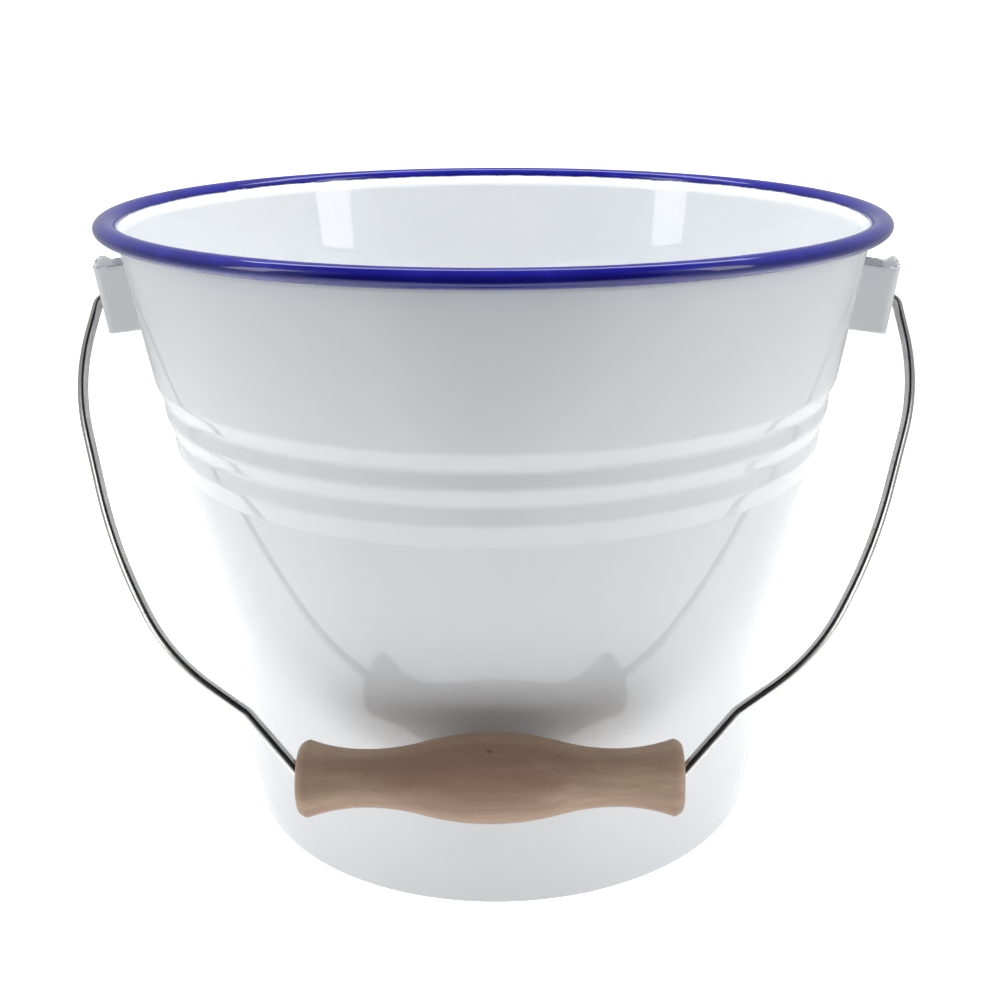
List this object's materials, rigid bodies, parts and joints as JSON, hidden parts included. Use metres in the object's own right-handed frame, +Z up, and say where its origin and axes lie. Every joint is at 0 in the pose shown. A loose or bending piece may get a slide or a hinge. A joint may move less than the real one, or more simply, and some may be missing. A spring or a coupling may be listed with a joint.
{
  "type": "milk pail",
  "caption": "Tapered white enamelled steel pail with a rolled blue rim, pressed ribs, box ears and a swinging wire bail with a turned wooden grip.",
  "frame": {"origin": "centre of the base, on the surface that the pail stands on", "axes": "+Z up; +X along the line through the two ears, towards the right ear; -Y to the front, where the bail hangs at rest"},
  "size_m": [0.3078, 0.2856, 0.2324],
  "materials": {
    "white_enamel": "gloss vitreous enamel",
    "blue_enamel": "gloss vitreous enamel",
    "steel_wire": "bright drawn wire",
    "turned_wood": "plain sanded wood, satin"
  },
  "bodies": {
    "pail": {"pail_shell": "white_enamel", "rim_bead": "blue_enamel", "rim_wire": "steel_wire", "ear_left": "white_enamel", "ear_right": "white_enamel"},
    "bail": {"bail_wire": "steel_wire"},
    "grip": {"grip": "turned_wood"}
  },
  "joints": [
    {"name": "bail_swing", "type": "hinge", "parent": "pail", "child": "bail", "pos_m": [0, 0, 0.1982], "axis": [-1, 0, 0], "range_deg": [0, 273.57]},
    {"name": "grip_spin", "type": "hinge", "parent": "bail", "child": "grip", "pos_m": [0, -0.12462, 0.06556], "axis": [1, 0, 0], "continuous": true}
  ]
}
